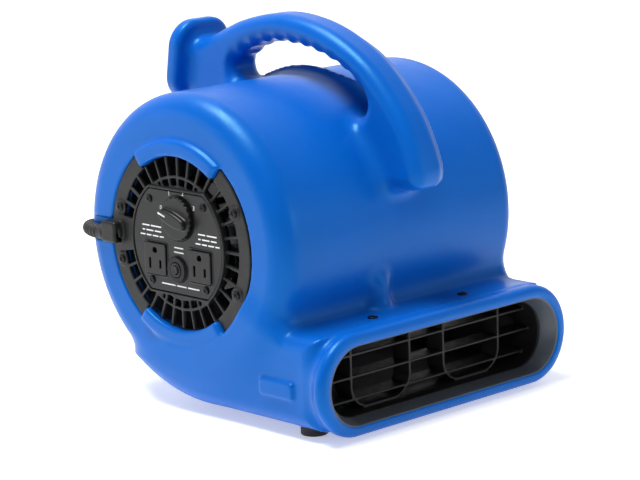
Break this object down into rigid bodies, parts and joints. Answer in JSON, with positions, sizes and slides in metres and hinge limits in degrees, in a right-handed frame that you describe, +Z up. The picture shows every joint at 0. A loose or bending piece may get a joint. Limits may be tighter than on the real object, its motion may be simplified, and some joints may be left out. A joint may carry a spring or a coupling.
{
  "type": "air mover",
  "caption": "Compact centrifugal air mover with a round moulded body, loop carry handle, side control panel, round inlet grilles and a wide low outlet.",
  "frame": {"origin": "on the floor under the middle of the machine, its lead left out", "axes": "+Z up, -Y the way the outlet blows, -X the way the control panel faces"},
  "size_m": [0.3084, 0.4394, 0.3161],
  "materials": {
    "blue_shell": "semi-gloss moulded royal blue polyethylene",
    "black_plastic": "fine-textured black moulded plastic",
    "liner_grey": "satin grey moulded plastic",
    "rubber": "matte black rubber",
    "cord_jacket": "smooth black flexible jacket",
    "steel": "bright machined steel",
    "black_screw": "black oxide",
    "aluminium": "cast aluminium",
    "winding": "lacquered copper windings and laminations",
    "can_white": "glossy off-white can"
  },
  "bodies": {
    "machine": {"housing_shell": "blue_shell", "inlet_grille_left": "black_plastic", "inlet_grille_right": "black_plastic", "control_plate": "black_plastic", "receptacle_rear": "black_plastic", "receptacle_front": "black_plastic", "breaker_body": "black_plastic", "rotary_switch_body": "black_plastic", "outlet_grille": "black_plastic", "cord_tie": "black_plastic", "outlet_liner": "liner_grey", "floor_foot_front_left": "rubber", "floor_foot_front_right": "rubber", "floor_foot_rear_left": "rubber", "floor_foot_rear_right": "rubber", "side_foot_1": "rubber", "side_foot_2": "rubber", "side_foot_3": "rubber", "side_foot_4": "rubber", "strain_relief": "rubber", "cord_lead": "cord_jacket", "cord_tail": "cord_jacket", "cord_coil": "cord_jacket", "plug_body": "cord_jacket", "bearing_near": "steel", "bearing_far": "steel", "plug_blade_live": "steel", "plug_blade_neutral": "steel", "plug_ground_pin": "steel", "left_grille_screw_1": "black_screw", "left_grille_screw_2": "black_screw", "left_grille_screw_3": "black_screw", "left_grille_screw_4": "black_screw", "right_grille_screw_1": "black_screw", "right_grille_screw_2": "black_screw", "right_grille_screw_3": "black_screw", "right_grille_screw_4": "black_screw", "plate_screw_1": "black_screw", "plate_screw_2": "black_screw", "plate_screw_3": "black_screw", "plate_screw_4": "black_screw", "duct_screw_left": "black_screw", "duct_screw_right": "black_screw", "breaker_nut": "black_screw", "motor_can": "black_screw", "motor_bracket": "black_screw", "motor_end_bell_near": "aluminium", "motor_end_bell_far": "aluminium", "stator_core": "winding", "run_capacitor": "can_white"},
    "fan": {"fan_wheel": "black_plastic", "hub_set_screw": "steel", "motor_shaft": "steel", "rotor_core": "steel"},
    "speed_control": {"speed_knob": "black_plastic", "switch_shaft": "steel"},
    "breaker_reset": {"breaker_button": "black_plastic"}
  },
  "joints": [
    {"name": "fan_spin", "type": "hinge", "parent": "machine", "child": "fan", "pos_m": [0, 0.0195, 0.142], "axis": [1, 0, 0], "continuous": true},
    {"name": "speed_knob_turn", "type": "hinge", "parent": "machine", "child": "speed_control", "pos_m": [-0.14, 0.017, 0.1635], "axis": [1, 0, 0], "range_deg": [0, 135]},
    {"name": "breaker_reset_press", "type": "slide", "parent": "machine", "child": "breaker_reset", "axis": [1, 0, 0], "range_m": [0, 0.003], "stiffness_N_per_m": 300, "springref_m": -0.001}
  ]
}
